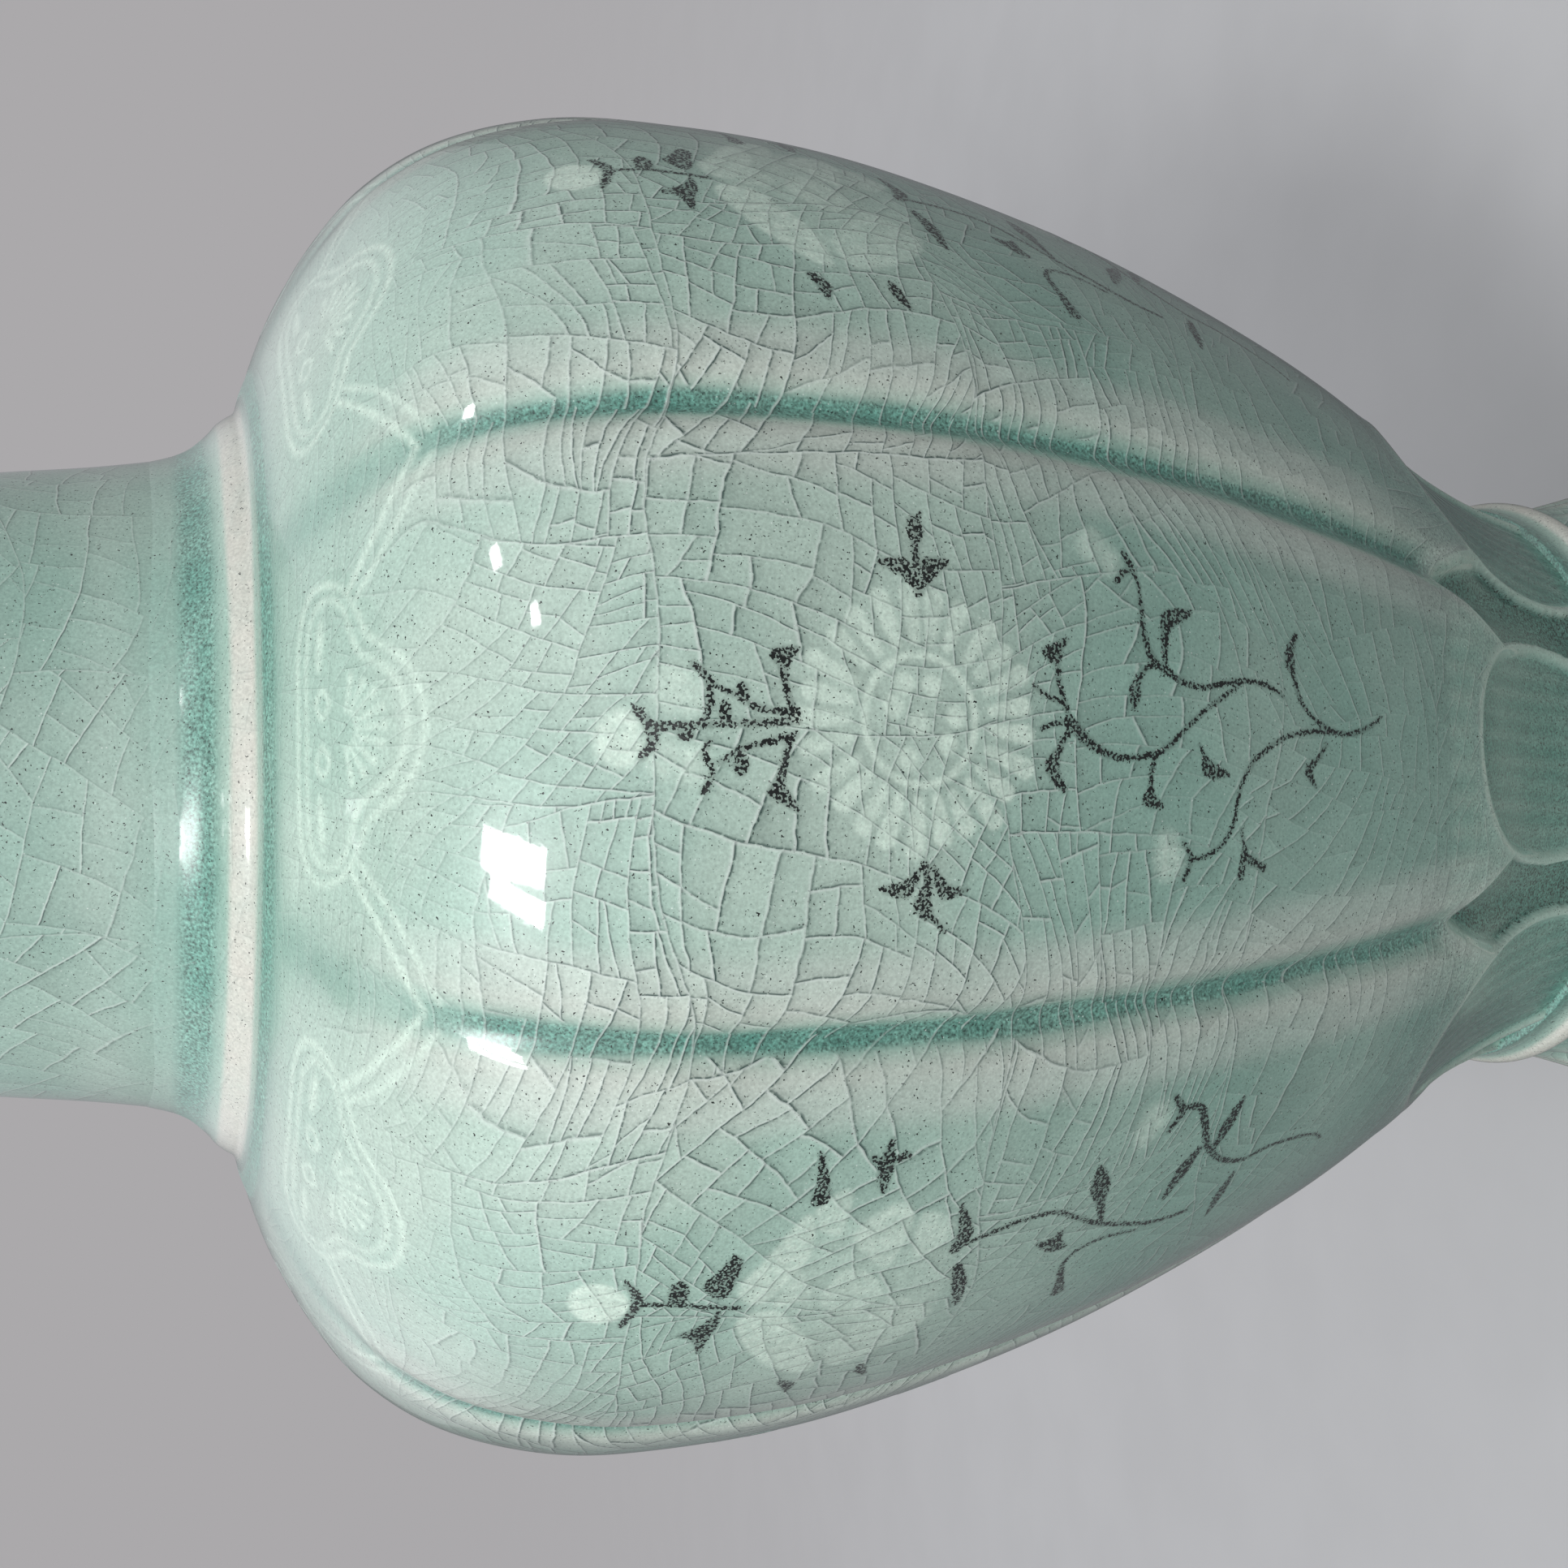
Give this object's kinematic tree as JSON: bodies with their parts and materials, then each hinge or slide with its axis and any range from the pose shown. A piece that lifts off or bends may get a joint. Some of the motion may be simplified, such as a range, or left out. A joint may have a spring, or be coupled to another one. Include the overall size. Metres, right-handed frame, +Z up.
{
  "type": "bottle vase",
  "caption": "Inlaid celadon bottle vase with a lobed melon body, a pleated hollow foot, raised rings at neck and waist, slip inlays in every lobe and a petal-edged flaring mouth.",
  "frame": {"origin": "middle of the foot's resting face", "axes": "+Z up along the vase's axis, from the foot to the mouth; the crown of lobe 1 faces -Y"},
  "size_m": [0.1264, 0.1264, 0.256],
  "materials": {
    "celadon_glaze": "glossy crackled celadon glaze over grey stoneware",
    "white_slip": "white slip inlay under glossy crackled celadon glaze",
    "black_slip": "black slip inlay under glossy crackled celadon glaze"
  },
  "bodies": {
    "root": {"melon_body": "celadon_glaze", "neck_and_mouth": "celadon_glaze", "foot_skirt": "celadon_glaze", "neck_ring": "celadon_glaze", "waist_ring": "celadon_glaze", "flower_inlay_1": "white_slip", "flower_inlay_2": "white_slip", "flower_inlay_3": "white_slip", "flower_inlay_4": "white_slip", "flower_inlay_5": "white_slip", "flower_inlay_6": "white_slip", "flower_inlay_7": "white_slip", "flower_inlay_8": "white_slip", "ruyi_inlay_1": "white_slip", "ruyi_inlay_2": "white_slip", "ruyi_inlay_3": "white_slip", "ruyi_inlay_4": "white_slip", "ruyi_inlay_5": "white_slip", "ruyi_inlay_6": "white_slip", "ruyi_inlay_7": "white_slip", "ruyi_inlay_8": "white_slip", "bud_inlay_1": "white_slip", "bud_inlay_2": "white_slip", "bud_inlay_3": "white_slip", "bud_inlay_4": "white_slip", "bud_inlay_5": "white_slip", "bud_inlay_6": "white_slip", "bud_inlay_7": "white_slip", "bud_inlay_8": "white_slip", "spray_inlay_1": "black_slip", "spray_inlay_2": "black_slip", "spray_inlay_3": "black_slip", "spray_inlay_4": "black_slip", "spray_inlay_5": "black_slip", "spray_inlay_6": "black_slip", "spray_inlay_7": "black_slip", "spray_inlay_8": "black_slip", "scroll_inlay_1": "black_slip", "scroll_inlay_2": "black_slip", "scroll_inlay_3": "black_slip", "scroll_inlay_4": "black_slip", "scroll_inlay_5": "black_slip", "scroll_inlay_6": "black_slip", "scroll_inlay_7": "black_slip", "scroll_inlay_8": "black_slip"}
  },
  "joints": []
}
